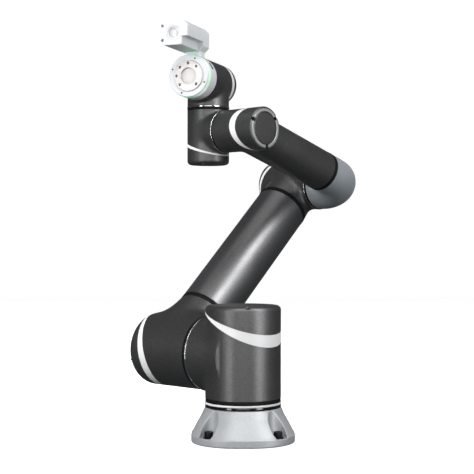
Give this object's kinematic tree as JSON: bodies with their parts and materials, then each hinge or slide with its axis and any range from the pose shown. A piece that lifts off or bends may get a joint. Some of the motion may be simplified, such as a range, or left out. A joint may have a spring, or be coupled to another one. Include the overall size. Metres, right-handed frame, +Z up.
{
  "type": "collaborative robot arm",
  "caption": "Jointed collaborative robot arm on a bolted foot, with oblique joint caps, a lit tool head and a camera beside the tool flange.",
  "frame": {"origin": "centre of the mounting face under the base", "axes": "+Z up along the joint 1 axis, +X and +Y along the sides of the square foot, with -Y at the front and the cable inlet at +Y"},
  "size_m": [0.4863, 0.5947, 0.8209],
  "materials": {
    "charcoal_paint": "satin metallic",
    "tube_paint": "satin metallic",
    "grey_paint": "satin",
    "cast_alloy": "fine blasted",
    "band_plastic": "satin",
    "seal_rubber": "matte",
    "gloss_black": "gloss",
    "bright_ring": "polished",
    "head_plastic": "satin",
    "flange_alloy": "fine turned",
    "lamp": "translucent",
    "lens": "coated",
    "drive_alloy": "machined",
    "bolt_steel": "blackened"
  },
  "bodies": {
    "base": {"base_casting": "cast_alloy", "base_bolt_1": "bolt_steel", "base_bolt_2": "bolt_steel", "base_bolt_3": "bolt_steel", "base_bolt_4": "bolt_steel", "base_cable_inlet": "gloss_black", "base_gloss_ring": "gloss_black", "base_white_ring": "band_plastic"},
    "shoulder": {"shoulder_seal": "seal_rubber", "shoulder_housing": "charcoal_paint", "shoulder_band": "band_plastic", "shoulder_cap": "charcoal_paint", "joint_1_drive": "drive_alloy", "joint_2_ring": "bright_ring"},
    "upper_arm": {"joint_2_seal": "seal_rubber", "elbow_lower_housing": "charcoal_paint", "elbow_lower_band": "band_plastic", "elbow_lower_cap": "charcoal_paint", "joint_2_drive": "drive_alloy", "upper_arm_ring_lower": "seal_rubber", "upper_arm_tube": "tube_paint", "upper_arm_ring_upper": "seal_rubber", "elbow_upper_housing": "charcoal_paint", "elbow_upper_band": "band_plastic", "elbow_upper_cap": "charcoal_paint", "joint_3_drive": "drive_alloy", "joint_3_ring": "bright_ring"},
    "forearm": {"joint_3_seal": "seal_rubber", "forearm_elbow": "grey_paint", "forearm_ring": "seal_rubber", "forearm_tube": "charcoal_paint", "wrist_1_housing": "charcoal_paint", "wrist_1_band": "band_plastic", "wrist_1_cap": "charcoal_paint", "wrist_1_cap_ring": "bright_ring", "joint_4_drive": "drive_alloy", "joint_4_seal": "seal_rubber"},
    "wrist_1": {"joint_4_ring": "bright_ring", "wrist_2_housing": "charcoal_paint", "wrist_2_band": "band_plastic", "wrist_2_cap": "charcoal_paint", "joint_5_drive": "drive_alloy", "joint_5_seal": "seal_rubber"},
    "wrist_2": {"joint_5_ring": "bright_ring", "wrist_3_housing": "charcoal_paint", "wrist_3_band": "band_plastic", "wrist_3_cap": "charcoal_paint", "joint_6_drive": "drive_alloy"},
    "tool_head": {"joint_6_seal": "seal_rubber", "tool_head_shell": "head_plastic", "tool_light_ring": "lamp", "tool_front_cover": "head_plastic", "tool_flange": "flange_alloy", "camera_body": "head_plastic", "camera_face": "head_plastic", "camera_lens": "lens", "camera_bracket": "head_plastic"},
    "tool_button_1": {"tool_button_1": "gloss_black"},
    "tool_button_2": {"tool_button_2": "gloss_black"}
  },
  "joints": [
    {"name": "base_turn", "type": "hinge", "parent": "base", "child": "shoulder", "pos_m": [0, 0, 0], "axis": [0, 0, 1], "range_deg": [-270, 270]},
    {"name": "shoulder_lift", "type": "hinge", "parent": "shoulder", "child": "upper_arm", "pos_m": [0, 0, 0.1652], "axis": [-0.7242, 0.6896, 0], "range_deg": [-90, 50]},
    {"name": "elbow_bend", "type": "hinge", "parent": "upper_arm", "child": "forearm", "pos_m": [0.26395, 0.27717, 0.51839], "axis": [0.7242, -0.6896, 0], "range_deg": [-210, 25]},
    {"name": "wrist_tilt", "type": "hinge", "parent": "forearm", "child": "wrist_1", "pos_m": [0.0417, 0.04379, 0.61691], "axis": [-0.7242, 0.6896, 0], "range_deg": [-180, 90]},
    {"name": "wrist_swing", "type": "hinge", "parent": "wrist_1", "child": "wrist_2", "pos_m": [-0.07149, 0.15158, 0.61691], "axis": [0, 0, 1], "range_deg": [-293, 30]},
    {"name": "tool_roll", "type": "hinge", "parent": "wrist_2", "child": "tool_head", "pos_m": [-0.07149, 0.15158, 0.72291], "axis": [0.3437, 0.9391, 0], "range_deg": [-270, 270]},
    {"name": "tool_button_1_press", "type": "slide", "parent": "tool_head", "child": "tool_button_1", "axis": [-0.8133, 0.2976, -0.5], "range_m": [0, 0.0015], "stiffness_N_per_m": 900, "springref_m": -0.001},
    {"name": "tool_button_2_press", "type": "slide", "parent": "tool_head", "child": "tool_button_2", "axis": [0.8133, -0.2976, -0.5], "range_m": [0, 0.0015], "stiffness_N_per_m": 900, "springref_m": -0.001}
  ]
}
